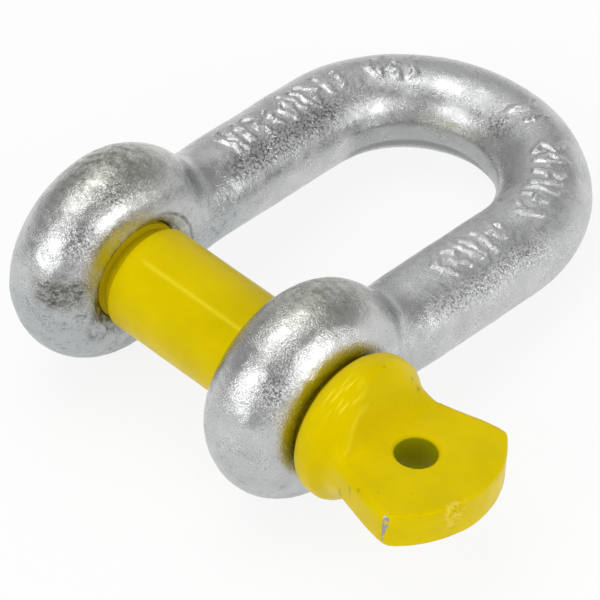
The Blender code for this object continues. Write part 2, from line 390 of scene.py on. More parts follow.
def grid_tube(name, rings):
    """Skin rings of points, all of one length, into a closed tube with flat ends."""
    count, sides = rings.shape[:2]
    row = np.arange(count - 1)[:, None] * sides
    here = row + np.arange(sides)
    beside = row + (np.arange(sides) + 1) % sides
    quads = np.stack([here, beside, beside + sides, here + sides], axis=-1).reshape(-1, 4).tolist()
    quads.append(list(range(sides))[::-1])
    quads.append(list(range((count - 1) * sides, count * sides)))
    mesh = bpy.data.meshes.new(name)
    mesh.from_pydata(to_world(rings.reshape(-1, 3)), [], quads)
    bm = bmesh.new()
    bm.from_mesh(mesh)
    bmesh.ops.recalc_face_normals(bm, faces=bm.faces)
    bm.to_mesh(mesh)
    bm.free()
    return new_object(name, mesh)


def round_rings(places, radii, turn):
    """Rings round the pin's axis, one for each place. A radius may change as it goes round."""
    radii = np.reshape(radii, (len(places), -1)) + 0 * turn
    x = np.reshape(places, (-1, 1)) + 0 * turn
    return np.stack([x, radii * np.cos(turn), radii * np.sin(turn)], axis=-1)


print("a ring of four:", np.degrees(full_turn(4)), "degrees")

# %% [markdown]
# ## The bow as it leaves the hammer
# A forging has no sharp corners and no facets, and the bores come later. The solid's mesh is copied, its bores are
# plugged, and a voxel remesh turns it into an even skin of small quads, as fine as it can be with the piece under two
# hundred thousand triangles. Relaxing the skin then melts the facets.

# %% The forged blank
EAR_X = 26.75
EAR_FACE_X = 9.65  # from the middle of an ear to its face at the bore
PLUG_RADIUS = 13.5
PLUG_SIDES = 96
SAME_POINT = 0.001
SKIN_STEP = 0.57
SKIN_ROUNDS = 24

bow = new_object("galvanised_bow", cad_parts["shackle_body"].data.copy())
bow.data.materials.clear()
bm = bmesh.new()
bm.from_mesh(bow.data)
bmesh.ops.remove_doubles(bm, verts=bm.verts, dist=SAME_POINT * MM)
bm.to_mesh(bow.data)
bm.free()
plugs = []
for ear in (-EAR_X, EAR_X):
    faces = [ear - EAR_FACE_X, ear + EAR_FACE_X]
    plugs.append(grid_tube("plug", round_rings(faces, [PLUG_RADIUS, PLUG_RADIUS], full_turn(PLUG_SIDES))))
cut_or_join(bow, "UNION", plugs)
skin = bow.modifiers.new("skin", "REMESH")
skin.mode = "VOXEL"
skin.voxel_size = SKIN_STEP * MM
applied(bow)
points = relaxed(bow.data, points_of(bow.data), SKIN_ROUNDS)
print("blank:", len(bow.data.polygons), "quads")

# %% [markdown]
# ### Softer throats
# In the die the metal flows from the leg into the ear, so there is no crease between them. More rounds of relaxing,
# kept to a band round each throat, give that blend and leave the ears as round as they are.

# %% Softer throats
THROAT_FROM_PIN = 25.0  # where the leg runs into the ear, measured from the pin's axis
THROAT_REACH = 6.5
THROAT_ROUNDS = 70

softer = relaxed(bow.data, points, THROAT_ROUNDS)
in_throat = hump(np.hypot(points[:, 1], points[:, 2]), THROAT_FROM_PIN, THROAT_REACH)
points = points + (softer - points) * in_throat[:, None]
set_points(bow.data, points)
print("throats:", int((in_throat > 0).sum()), "points")

# %% [markdown]
# ## Measuring along the bow
# Marks and flash follow the bent bar, so each point gets three more numbers: how far it lies along the bar from
# the middle of the crown, the angle round the bar, where 90 degrees is the top, and its distance from the pin's
# axis. The bar's centre line is an arc with a straight leg at each end. From these numbers come shares that say how
# far a point belongs to an ear or to the inside of the crown.

# %% Bar coordinates
BEND = 26.75  # from the middle of the crown's arc to the centre line of the bar
BEND_Y = 57.1
BAR_RADIUS = 9.6
EAR_FADE = (24, 8)  # an ear starts to fade into its leg here, measured from the pin's axis, and over this much
CROWN_INSIDE = (135, 20)  # angle at which the inside of the bar starts, and over how much
CROWN_END = (44, 8)


def along_bar(points):
    x, y, z = points.T
    past = y - BEND_Y
    bent = past > 0
    arc = BEND * np.arctan2(x, np.maximum(past, 1e-9))
    leg = np.sign(x) * (BEND * np.pi / 2 - past)
    out = np.where(bent, np.hypot(x, past), np.abs(x)) - BEND
    return np.where(bent, arc, leg), np.degrees(np.arctan2(z, out)), np.hypot(y, z)


def share_of_ear(from_pin):
    return 1 - rising(from_pin, *EAR_FADE)


def share_of_crown_inside(along, around, on_ear):
    return rising(np.abs(around), *CROWN_INSIDE) * falling(np.abs(along), *CROWN_END) * (1 - on_ear)


along, around, from_pin = along_bar(points)
LEG_START = BEND * math.pi / 2
print("bar: from", round(along.min(), 1), "to", round(along.max(), 1), "mm; a leg starts at", round(LEG_START, 1))

# %% [markdown]
# ## Hammer, die and flash
# Two things show that this was forged. The surface undulates by about a tenth of a millimetre, more on the ears than
# on the legs. And the two halves of the die leave a low ridge all round the middle of the bar and over the rims of the
# ears, ground back unevenly. Inside the crown, where a chain would rub, it was trimmed to a low flat land.

# %% Undulations
UNDULATION = 0.05
EAR_FLAT_RADIUS = 21.5  # the faces of the ears lay flat in the die

normals = normals_of(bow.data)
on_ear = share_of_ear(from_pin)
ear_face = on_ear * falling(from_pin, EAR_FLAT_RADIUS, 1.5)
soft_hammer = lumps(points, 13, seed=11) + 0.5 * lumps(points, 6, seed=12)
hammered = UNDULATION * soft_hammer * mix(0.6, 1.0, on_ear) * (1 - 0.6 * ear_face)
print("undulations up to", round(float(hammered.max()), 2), "mm")

# %% The flash ridge and the land
FLASH_HEIGHT = 0.2
FLASH_WIDTH = 0.7
LAND_HALF = 2.35
LAND_MIDDLE = -0.2
LAND_HEIGHT = 0.2
LAND_EDGE = 0.6
FLASH_WANDER = 0.35

steep_side = falling(np.abs(normals[:, 2]), 0.75, 0.3)
ridge = line_at(points[:, 2] - FLASH_WANDER * lumps(points, 15, seed=13), FLASH_WIDTH)
left_by_grinder = np.clip(0.6 + 0.4 * lumps(points, 9, seed=14), 0.1, 1.6)
in_crown = share_of_crown_inside(along, around, on_ear)
land = in_crown * falling(np.abs(points[:, 2] - LAND_MIDDLE), LAND_HALF + LAND_EDGE / 2, LAND_EDGE)
flash = ridge * steep_side * (1 - ear_face) * left_by_grinder * (1 - in_crown)
points = points + normals * (hammered + FLASH_HEIGHT * flash + LAND_HEIGHT * land)[:, None]
set_points(bow.data, points)
print("flash up to", round(float(FLASH_HEIGHT * flash.max()), 2), "mm")

# %% [markdown]
# ## Raised marks
# Five rows of raised marks stand along the top of the bar. They are plain shapes with no meaning: bars, slanted
# pairs, diamonds, dots, arrows and zigzags. Flat shapes could be extruded and joined on, but their walls would be too
# sharp for a forging. Here each mark is a list of strokes, and the skin is raised where it is close to a stroke.

# %% Where the marks stand
MARK_ROWS = [
    # place along the bar, pitch, middle angle, kinds
    (-66.5, 3.75, 92, "slash bar zigzag dots diamond slash arrow bar dots".split()),
    (-28.5, 4.1, 91, "diamond zigzag bar".split()),
    (5.6, 3.9, 87, "arrow dots".split()),
    (18.6, 4.0, 87, "zigzag diamond bar slash dots arrow".split()),
    (47.4, 3.9, 87, "diamond bar slash zigzag arrow".split()),
]
H = 2.9  # half the height of a mark
STROKES = {
    "bar": [((0, -H), (0, H))],
    "slash": [((-1.5, -H), (-0.1, H)), ((0.3, -H), (1.6, H))],
    "zigzag": [((-1.0, -H), (0.9, -1.1)), ((0.9, -1.1), (-0.9, 1.0)), ((-0.9, 1.0), (1.0, H))],
    "dots": [((0, -2.2), (0.1, -1.9)), ((0, 1.9), (0.1, 2.2)), ((-0.1, -0.1), (0.1, 0.1))],
    "diamond": [((-1.3, 0), (0, H)), ((0, H), (1.3, 0)), ((1.3, 0), (0, -H)), ((0, -H), (-1.3, 0))],
    "arrow": [((-1.0, -H), (1.1, 0)), ((1.1, 0), (-1.0, H))],
}
print("marks:", sum(len(row[3]) for row in MARK_ROWS), "in", len(MARK_ROWS), "rows")

# %% [markdown]
# ### The shape of a mark
# The distance to the nearest stroke gives a height from 0 to 1, with a sloping wall. Forging and zinc blur a mark, so
# random fields make its outline waver and its height uneven.

# %% The shape of a mark
STROKE = 0.68
STROKE_EDGE = 0.75


def to_line(u, v, start, end):
    """Distance from (u, v) to the straight stroke from start to end."""
    du, dv = end[0] - start[0], end[1] - start[1]
    t = np.clip(((u - start[0]) * du + (v - start[1]) * dv) / (du * du + dv * dv), 0, 1)
    return np.hypot(u - start[0] - t * du, v - start[1] - t * dv)


def mark_height(along, around):
    """How high each point stands on a mark, from 0 to 1."""
    height = np.zeros(len(along))
    for start, pitch, middle, kinds in MARK_ROWS:
        v = np.radians(around - middle) * BAR_RADIUS
        for i, kind in enumerate(kinds):
            u = along - start - i * pitch
            close = (np.abs(u) < 4) & (np.abs(v) < H + 2)
            for line in STROKES[kind]:
                gap = to_line(u[close], v[close], *line)
                height[close] = np.maximum(height[close], falling(gap, STROKE + STROKE_EDGE / 2, STROKE_EDGE))
    return height


def molten_marks(points):
    """Height of the marks with the wavering outline and the uneven fill that forging and zinc leave."""
    along, around, _ = along_bar(points)
    height = mark_height(along + 0.22 * lumps(points, 2.6, seed=21), around + 2.2 * lumps(points, 2.9, seed=22))
    return height * np.clip(0.85 + 0.25 * lumps(points, 3.0, seed=23), 0.25, 1.3)


print("a stroke is about", 2 * STROKE, "mm wide")

# %% [markdown]
# ### Room for the marks
# A stroke needs about four quads across it to keep its shape. Splitting the whole skin would be a waste, so only the
# edges under the rows are split, and two gentle rounds of relaxing even them out. Then the marks are raised.

# %% Splitting the skin under the marks
SPLIT_HALF_ANGLE = 24

under = np.zeros(len(points), bool)
for start, pitch, middle, kinds in MARK_ROWS:
    end = start + pitch * len(kinds) + 1
    under |= (along > start - 3) & (along < end) & (np.abs(around - middle) < SPLIT_HALF_ANGLE)
bm = bmesh.new()
bm.from_mesh(bow.data)
bm.verts.ensure_lookup_table()
edges = [e for e in bm.edges if under[e.verts[0].index] and under[e.verts[1].index]]
bmesh.ops.subdivide_edges(bm, edges=edges, cuts=1, use_grid_fill=True)
bm.to_mesh(bow.data)
bm.free()
points = relaxed(bow.data, points_of(bow.data), 2, share=0.4)
set_points(bow.data, points)
print("skin:", len(bow.data.polygons), "faces")

# %% Raising the marks
MARK_RELIEF = 0.42

raised = molten_marks(points)
points = points + normals_of(bow.data) * (MARK_RELIEF * raised)[:, None]
set_points(bow.data, points)
print("marks stand up to", round(float(MARK_RELIEF * raised.max()), 2), "mm proud")

# %% [markdown]
# ## Orange peel
# Molten zinc freezes to a skin like orange peel, coarser on the ears than on the legs. It is only a hundredth of a
# millimetre high, but the lamps draw every lump of it. Two random fields of different size are enough.

# %% Orange peel
PEEL = 0.012

on_ear = share_of_ear(along_bar(points)[2])
peel = lumps(points, 2.4, seed=31, waves=60) + 0.45 * lumps(points, 1.3, seed=32, waves=60)
points = points + normals_of(bow.data) * (PEEL * peel * mix(0.55, 1.2, on_ear))[:, None]
set_points(bow.data, points)
print("peel of about", PEEL, "mm")

# %% [markdown]
# ## Boring and tapping
# On the real shackle the bores are drilled through the finished forging, and so they are here: a tool shaped like
# the hole is cut out of the lumpy skin, which leaves a crisp mouth with a chamfer. The tool for the tapped ear
# carries the thread, a helix that its radius follows as it turns.

# %% The thread's form
THREAD_PITCH = 2.5
FLAT_ROOT, FLANK = 0.18, 0.64  # shares of half a pitch; the rest is the crest


def thread_form(x, turn):
    """Height of a right-hand thread at a place along the axis and an angle, from 0 at the root to 1 at the crest."""
    t = (x / THREAD_PITCH - turn / (2 * np.pi)) % 1
    return np.clip((np.abs(t - 0.5) * 2 - FLAT_ROOT) / FLANK, 0, 1)


print("thread over one pitch:", thread_form(np.linspace(0, THREAD_PITCH, 6), 0).round(2))

# %% Drilling and tapping
PLAIN_BORE_RADIUS = 11.6
TAPPED_BORE_RADIUS = 10.75
MOUTH_RADIUS = 13.0
MOUTH_DEPTH = 1.05
MOUTH_IN = EAR_FACE_X - MOUTH_DEPTH
THREAD_DEPTH = 1.3
TOOL_REACH = 11.2
TOOL_SIDES = 144
THREAD_RINGS = 90
BOW_SHARP_EDGE = math.radians(38)


def bore_tool(name, middle, radius, thread_depth, places):
    x = places[:, None]
    turn = full_turn(TOOL_SIDES)
    wall = radius + thread_depth * (1 - thread_form(x + middle, turn))
    mouth = radius + (MOUTH_RADIUS - radius) / MOUTH_DEPTH * (np.abs(x) - MOUTH_IN)
    return grid_tube(name, round_rings(places + middle, np.maximum(wall, mouth), turn))


plain_places = np.array([-TOOL_REACH, -MOUTH_IN, MOUTH_IN, TOOL_REACH])
thread_places = np.linspace(-TOOL_REACH, TOOL_REACH, THREAD_RINGS)
tools = [
    bore_tool("plain_bore_tool", EAR_X, PLAIN_BORE_RADIUS, 0, plain_places),
    bore_tool("tapped_bore_tool", -EAR_X, TAPPED_BORE_RADIUS, THREAD_DEPTH, thread_places),
]
cut_or_join(bow, "DIFFERENCE", tools)
bow.data.shade_smooth()
bow.data.set_sharp_from_angle(angle=BOW_SHARP_EDGE)
print("bow:", triangles_in(bow.data), "triangles")

# %% [markdown]
# ## Masks on the bow
# Dirt, painted shade and frosting have places. A mask is one number on each point, worked out from where the point is.
# The finish reads it by name, so it moves with the bow. The first numbers say which part of the bow a point is on.


# %% Which part of the bow a point is on
def set_masks(mesh, masks):
    for name, values in masks.items():
        layer = mesh.attributes.new(name, "FLOAT", "POINT")
        layer.data.foreach_set("value", np.clip(values, 0, 1).astype(np.float32))
        print("mask", name, "on", int((values > 0.3).sum()), "points")


points = points_of(bow.data)
along, around, from_pin = along_bar(points)
x, y, z = points.T
on_ear = share_of_ear(from_pin)
on_bar = 1 - on_ear
far_ear = on_ear * (x < 0)
near_ear = on_ear * (x > 0)
in_crown = share_of_crown_inside(along, around, on_ear)
round_bore = np.degrees(np.arctan2(z, y))
print("points on the ears:", int((on_ear > 0.5).sum()), "of", len(points))

# %% [markdown]
# ### Grime, painted shade, tarnish and cracks
# Grime gathers high on the backs of the ears. Painted shade darkens the zinc round the bores and low beside the far
# bore, under the pin. The ears' tops are tarnished, and low down the zinc has fine dark cracks, more of them on the
# far ear. At the far bore the painted shade is left off the chamfer on the side that faces the crown, and only its
# outer edge holds a dark line of painted shade.

# %% Grime, painted shade and stains
MOUTH_EDGE = 13.4  # from the pin's axis to the dark line round the mouth
FAR_FACE_X = EAR_FACE_X - EAR_X  # the far ear's face inside the jaw
BACK_OF_FAR_EAR = (-28, 0, 23), (14, 22, 9)
BACK_OF_NEAR_EAR = (25, 4, 23), (17, 18, 9)
BELOW_FAR_BORE = (-17.4, -10.5, -5.0), (4, 6, 8)
SMEARED = (-20.0, -18.8, 4.6), (8.5, 7.5, 5.5)
EAR_TOPS = [((-26, 2, 24), (18, 26, 16)), ((26, 2, 24), (18, 26, 16))]

# Painted shade: a dark line round the far bore's mouth, a darker ring round both bores and a patch under the pin
# beside the far bore. The patches on the backs of the ears are dirt.
mouth_edge = line_at(from_pin - MOUTH_EDGE, 0.32) * (np.abs(x - FAR_FACE_X) < 2)
crown_side_of_mouth = rising(round_bore, -5, 8) * falling(round_bore, 78, 8) * far_ear
grime_and_shade = 0.8 * near(points, *BACK_OF_FAR_EAR) * far_ear
grime_and_shade += 0.55 * near(points, *BACK_OF_NEAR_EAR) * near_ear
grime_and_shade += falling(from_pin, 13.9, 0.9) * (0.35 * far_ear + 0.15 * near_ear)
grime_and_shade += 1.4 * near(points, *BELOW_FAR_BORE)
grime_and_shade = grime_and_shade * (1 - crown_side_of_mouth * (from_pin < 14)) + crown_side_of_mouth * mouth_edge
smudge = 1.5 * near(points, *SMEARED)
cracks = on_ear * falling(z, 7, 9) * (from_pin > 12) * np.where(x < 0, 1.0, 0.45)
tarnish = sum(near(points, *top) for top in EAR_TOPS)
set_masks(bow.data, {"grime_and_shade": grime_and_shade, "smudge": smudge, "cracks": cracks, "tarnish": tarnish})

# %% [markdown]
# ### Frost, flakes and bloom
# The lower parts of the ears are frosty, and so are the legs, a little. Dark flakes of dross speckle one side of each
# leg, the middle of the crown and a few spots on the ears. Round the far bore and on the near leg the zinc has a dull
# grey bloom. Painted shade darkens the crown's inner band below its land, the bottoms of the ears, and a line round
# the far bore's mouth.

# %% Frost, painted shade beneath, flakes and bloom
FLAKY_CROWN = (4.5, 77.0, 7.0)
FLAKY_SPOTS = [(-20.7, -14.4, 15.1), (-21.7, -4.6, 21.1), (33.2, -15.5, 13.5)]

frost = on_ear * falling(z, 6, 16) + 0.55 * on_bar
below_land = falling(z, LAND_MIDDLE - LAND_HALF + LAND_EDGE / 2, LAND_EDGE)
# Painted shade: darker on the crown's inner band and below its land, low on the ears, and on the far bore's mouth line
underside_shade = in_crown * falling(z, 2.7, 0.7) * (0.45 + 0.55 * below_land)
underside_shade += 0.8 * on_ear * falling(z, -12.5, 10)
underside_shade += 0.9 * crown_side_of_mouth * mouth_edge
flaky_side = hump(around, np.where(x > 0, 42, 128), 30) * rising(np.abs(along), 36, 10) * on_bar
flakes = sum(near(points, spot, (5, 6.5, 6.5)) for spot in FLAKY_SPOTS) + near(points, FLAKY_CROWN, (5, 5, 5))
flakes += 0.5 * smudge + np.where(x > 0, 0.8, 1.2) * flaky_side
at_mouth = falling(from_pin, 17.0, 3.5) * rising(x, -21.5, 2) * (x < -14)
bloom = 0.6 * at_mouth * (1 - hump(round_bore, 136, 22)) * rising(round_bore, -10, 10)
bloom += 0.45 * on_bar * rising(along, 22, 14)
set_masks(bow.data, {"frost": frost, "underside_shade": underside_shade, "flakes": flakes, "bloom": bloom})
set_masks(bow.data, {"marks": molten_marks(points)})

# %% [markdown]
# ## Zinc
# Galvanised steel is a satin metal whose shine changes from spot to spot. Noise in millimetres gives every pattern,
# so a speckle has the same size wherever it lies. Each layer of dirt and of painted shade is a colour laid over the
# last one, by a share that noise and a mask make together.


# %% Patterns in millimetres
def in_millimetres():
    place = add_node(tree, "ShaderNodeTexCoord", {}).outputs["Object"]
    return add_node(tree, "ShaderNodeVectorMath", {0: place, "Scale": 1 / MM}, operation="SCALE").outputs["Vector"]


def noise(size, detail=3.0, roughness=0.55, distortion=0.0, vector=None):
    sockets = {"Scale": 1 / size, "Detail": detail, "Roughness": roughness, "Distortion": distortion}
    return add_node(tree, "ShaderNodeTexNoise", {"Vector": vector or in_mm, **sockets}).outputs["Fac"]


def remap(value, low, high, to_low=0.0, to_high=1.0):
    sockets = {"Value": value, "From Min": low, "From Max": high, "To Min": to_low, "To Max": to_high}
    return add_node(tree, "ShaderNodeMapRange", sockets).outputs["Result"]


def mask(name):
    return add_node(tree, "ShaderNodeAttribute", {}, attribute_name=name).outputs["Fac"]


def laid_over(colour, share, coat):
    """The colour with a share of a coat over it."""
    made = add_node(tree, "ShaderNodeMix", {}, data_type="RGBA")
    for socket, value in zip((made.inputs[0], made.inputs[6], made.inputs[7]), (share, colour, coat)):
        fill(tree, socket, value)
    return made.outputs[2]


def bump(height, distance, **below):
    sockets = {"Strength": 1.0, "Distance": distance, "Height": height, **below}
    return add_node(tree, "ShaderNodeBump", sockets).outputs["Normal"]


zinc, tree, output = new_tree("galvanised zinc")
in_mm = in_millimetres()
print("zinc starts with", len(tree.nodes), "nodes")

# %% [markdown]
# ### Clean zinc and its tarnish
# Patches of bright and dull zinc come first. Over them lie the warm tarnish on top of the ears and the cold grey low
# down. Thin dark lines follow the middle value of a stretched noise, as drips and cracks run level round the ear.

# %% Zinc, tarnish and stains
BRIGHT_ZINC, DULL_ZINC = (0.595, 0.60, 0.60, 1), (0.50, 0.505, 0.507, 1)
WARM_TARNISH, COLD_GREY = (0.59, 0.60, 0.53, 1), (0.42, 0.45, 0.46, 1)
STAIN, FRESH_ZINC = (0.14, 0.145, 0.13, 1), (0.60, 0.605, 0.60, 1)
LEVEL_STRETCH = (0.6, 0.75, 1.4)

tarnished, cracked, marked = mask("tarnish"), mask("cracks"), mask("marks")
colour = laid_over(BRIGHT_ZINC, remap(noise(7.0, 4.0), 0.35, 0.65), DULL_ZINC)
colour = laid_over(colour, times(tarnished, 0.8), WARM_TARNISH)
colour = laid_over(colour, times(cracked, 0.8), COLD_GREY)
level = add_node(tree, "ShaderNodeVectorMath", {0: in_mm, 1: LEVEL_STRETCH}, operation="MULTIPLY").outputs["Vector"]
off_line = maths("ABSOLUTE", maths("SUBTRACT", noise(4.0, 5.0, 0.6, 1.0, level), 0.5), 0.0)
lines = times(remap(off_line, 0.014, 0.0), remap(noise(4.0, 2.0), 0.44, 0.56))
blots = remap(noise(2.6, 5.0, 0.7, 0.8), 0.56, 0.72)
stains = times(maths("MAXIMUM", lines, blots), maths("MAXIMUM", cracked, times(tarnished, 0.8)))
colour = laid_over(colour, times(stains, 0.85), STAIN)
colour = laid_over(colour, times(marked, 0.8), FRESH_ZINC)
print("zinc:", len(tree.nodes), "nodes")

# %% [markdown]
# ### Dirt and painted shade
# The smear, the painted shade beneath the crown and the ears, the black flakes, the brown dirt with the painted shade
# round the bores, and the specks of dross each have their own grain. The share of dirt and shade is kept apart by a
# name, because it also takes the shine away.

# %% Dirt and painted shade on the zinc
SMEAR_GREY, SMEAR_BLACK = (0.30, 0.305, 0.265, 1), (0.07, 0.07, 0.055, 1)
UNDERSIDE_SHADE, FLAKE = (0.17, 0.175, 0.18, 1), (0.12, 0.12, 0.12, 1)
GRIME_AND_SHADE, DROSS = (0.15, 0.145, 0.105, 1), (0.20, 0.20, 0.19, 1)

smudged, flaky = mask("smudge"), mask("flakes")
colour = laid_over(colour, times(smudged, 0.75), SMEAR_GREY)
smears = times(remap(noise(0.9, 5.0, 0.8, 0.4, level), 0.45, 0.54), remap(noise(3.2, 3.0), 0.38, 0.52))
colour = laid_over(colour, times(smears, smudged), SMEAR_BLACK)
# Painted shade beneath the crown's inner band and the ears
colour = laid_over(colour, times(mask("underside_shade"), 0.85), UNDERSIDE_SHADE)
black_flakes = times(flaky, remap(noise(0.55, 3.0, 0.6), 0.48, 0.58))
colour = laid_over(colour, times(black_flakes, 0.85), FLAKE)
# Brown dirt on the backs of the ears, and painted shade round the bores and under the pin
grime_and_shade_share = times(mask("grime_and_shade"), remap(noise(1.6, 5.0, 0.65), 0.42, 0.62))
colour = laid_over(colour, grime_and_shade_share, GRIME_AND_SHADE)
dross = times(remap(noise(1.1, 6.0, 0.7, 1.2), 0.60, 0.70), remap(noise(6.0, 2.0), 0.5, 0.62))
colour = laid_over(colour, times(dross, 0.55), DROSS)
print("zinc:", len(tree.nodes), "nodes")

# %% [markdown]
# ### Speckle, shine and bump
# A fine grit makes the colour and the bump sparkle together, less where the zinc is frosty and more among the flakes.
# The bloom is rough and only partly metallic. Three bumps sit on one another: a crinkle of about a millimetre, a
# molten look on the marks, and the grit.

# %% Speckle and shine
frosty = mask("frost")
bloomed = times(mask("bloom"), remap(noise(1.4, 4.0, 0.65), 0.40, 0.58, 0.25, 1.0))
speckle = times(remap(noise(5.0, 3.0, 0.6), 0.44, 0.60, 0.25, 1.0), remap(frosty, 0.55, 1.0, 1.0, 0.35))
speckle = maths("ADD", speckle, times(flaky, 0.6))
grit = times(remap(noise(0.3, 3.0, 0.7), 0.3, 0.7, -0.4, 0.4), speckle)
gritty = {0: colour, "Scale": maths("ADD", grit, 1.0)}
colour = add_node(tree, "ShaderNodeVectorMath", gritty, operation="SCALE").outputs["Vector"]

roughness = maths("ADD", remap(frosty, 0.0, 1.0, 0.20, 0.33), remap(noise(2.2, 4.0, 0.6), 0.35, 0.65, -0.06, 0.08))
roughness = maths("ADD", roughness, times(grime_and_shade_share, 0.18))
roughness = maths("ADD", roughness, times(bloomed, 0.25))
print("zinc:", len(tree.nodes), "nodes")

# %% Bumps and the metal itself
crinkle = bump(noise(1.3, 6.0, 0.68, 0.5), 0.09 * MM)
molten = bump(noise(0.9, 3.0, 0.6), times(marked, 0.22 * MM), Normal=crinkle)
grain = bump(noise(0.42, 3.0, 0.6), times(speckle, 0.14 * MM), Normal=molten)
finish = {
    "Base Color": colour,
    "Roughness": roughness,
    "Metallic": remap(bloomed, 0.0, 1.0, 1.0, 0.35),
    "Normal": grain,
}
metal = add_node(tree, "ShaderNodeBsdfPrincipled", finish)
fill(tree, output.inputs["Surface"], metal.outputs["BSDF"])
bow.data.materials.clear()
bow.data.materials.append(zinc)
print("zinc:", len(tree.nodes), "nodes")

# %% [markdown]
# ## The screw pin
# The pin is one bar of steel: a threaded point, a relief groove, a plain shank, a round collar, and a head that
# flattens into a fish tail. It could be built from cylinders and booleans, but its sections change smoothly from a
# circle to a slab with rounded edges, so one loft of a few hundred rings gives the whole of it.

# %% Sections of the pin
PIN_SIDES = 240
turn = full_turn(PIN_SIDES)


def section(x, half_width, half_height, edge):
    """One section of the pin: a slab with rounded edges, or a circle when all three sizes are the same."""
    y = half_width * np.cos(turn)
    past = np.clip(np.abs(y) - (half_width - edge), 0, edge)
    z = half_height - edge + np.sqrt(edge**2 - past**2)
    z[[0, PIN_SIDES // 2]] = 0
    return np.stack([np.full(PIN_SIDES, x), y, np.where(turn < np.pi, z, -z)], axis=1)


print("each section has", len(section(0, 1, 1, 1)), "points")

# %% [markdown]
# ### Thread, groove and shank
# The turned part has a round section everywhere, so a profile of radius against length describes it, and the
# thread is that radius with the helix taken off it. The groove lets the thread run out before the full shank.

# %% Turned part
PIN_RADIUS = 11.0
CREST_RADIUS = 10.45
GROOVE_RADIUS = 9.7
POINT_X = -36.65
POINT_CHAMFER = 1.2
SHANK_END_X = -16.1
GROOVE_X = SHANK_END_X - 2.6
SHANK_CHAMFER = 0.6
COLLAR_X = 36.9
PIN_THREAD_DEPTH = 1.25
RUN_OUT = 1.6
THREAD_STEP, GROOVE_STEP, SHANK_STEP = 0.25, 0.12, 0.7
TURNED_PROFILE = [
    (POINT_X, CREST_RADIUS - POINT_CHAMFER),
    (POINT_X + POINT_CHAMFER, CREST_RADIUS),
    (GROOVE_X, CREST_RADIUS),
    (GROOVE_X + 0.7, GROOVE_RADIUS),
    (SHANK_END_X - 0.35, GROOVE_RADIUS),
    (SHANK_END_X, CREST_RADIUS),
    (SHANK_END_X + SHANK_CHAMFER, PIN_RADIUS),
    (COLLAR_X, PIN_RADIUS),
]


def turned_rings():
    thread = np.arange(POINT_X, GROOVE_X, THREAD_STEP)
    groove = np.arange(GROOVE_X, SHANK_END_X + SHANK_CHAMFER + 0.2, GROOVE_STEP)
    shank = np.arange(SHANK_END_X + SHANK_CHAMFER + 0.4, COLLAR_X - 0.5, SHANK_STEP)
    x = np.concatenate([thread, groove, shank, [COLLAR_X]])[:, None]
    radius = np.interp(x, *zip(*TURNED_PROFILE))
    runs = falling(x, GROOVE_X + 0.2, RUN_OUT)
    lead = np.clip((x - POINT_X) / RUN_OUT, 0.25, 1)
    cut = (1 - thread_form(x, turn)) * PIN_THREAD_DEPTH * runs
    return list(round_rings(x, radius - cut * lead, turn))


print("turned part:", len(turned_rings()), "rings")

# %% [markdown]
# ### Collar, shoulder and fish tail
# The collar is a round flange with a rounded rim. From it the section narrows to a waist and sinks to the thickness
# of the tab, then fans out to the tail. The last rings bend back at the corners, so that the tail ends in an arc, and
# they shrink to round its edge.

# %% Collar
COLLAR_RADIUS = 15.2
COLLAR_ROUND = 3.6
SHOULDER_X = 41.7
RIM_RINGS = 13
COLLAR_STEP = 0.3


def collar_rings():
    rings = []
    for angle in np.linspace(0, math.pi / 2, RIM_RINGS):
        r = COLLAR_RADIUS - COLLAR_ROUND * (1 - math.sin(angle))
        rings.append(section(COLLAR_X + COLLAR_ROUND * (1 - math.cos(angle)), r, r, r))
    for x in np.arange(COLLAR_X + COLLAR_ROUND + COLLAR_STEP, SHOULDER_X - 0.1, COLLAR_STEP):
        rings.append(section(x, COLLAR_RADIUS, COLLAR_RADIUS, COLLAR_RADIUS))
    return rings


print("collar:", len(collar_rings()), "rings")

# %% Flattened head
WAIST_X, WAIST_HALF = 45.95, 13.3
FLAT_X = 49.35
TAIL_CORNER_X, TAIL_HALF = 63.05, 16.6
TAIL_X, TAIL_RADIUS = 70.95, 21.39
TAB_HALF = 4.0
TAB_EDGE_ROUND, TAIL_CORNER_ROUND = 2.0, 1.5
TAIL_EDGE_ROUND = 0.7
SHOULDER_RINGS, TAIL_RINGS, EDGE_RINGS = 30, 34, 9


def head_half_width(x):
    if x < WAIST_X:
        t = (x - SHOULDER_X) / (WAIST_X - SHOULDER_X)
        return mix(COLLAR_RADIUS, WAIST_HALF, math.sin(math.pi / 2 * t) ** 1.6)
    t = (x - WAIST_X) / (TAIL_CORNER_X - WAIST_X)
    return mix(WAIST_HALF, TAIL_HALF, math.sin(math.pi / 2 * t) ** 1.7)


def shoulder_rings():
    rings = []
    for t in np.linspace(0, 1, SHOULDER_RINGS):
        x = mix(SHOULDER_X, FLAT_X, t)
        half_width = head_half_width(x)
        half_height = mix(COLLAR_RADIUS, TAB_HALF, math.sin(math.pi / 2 * t) ** 2.5)
        edge = mix(min(half_height, half_width), TAB_EDGE_ROUND, t**4)
        rings.append(section(x, half_width, half_height, edge))
    return rings


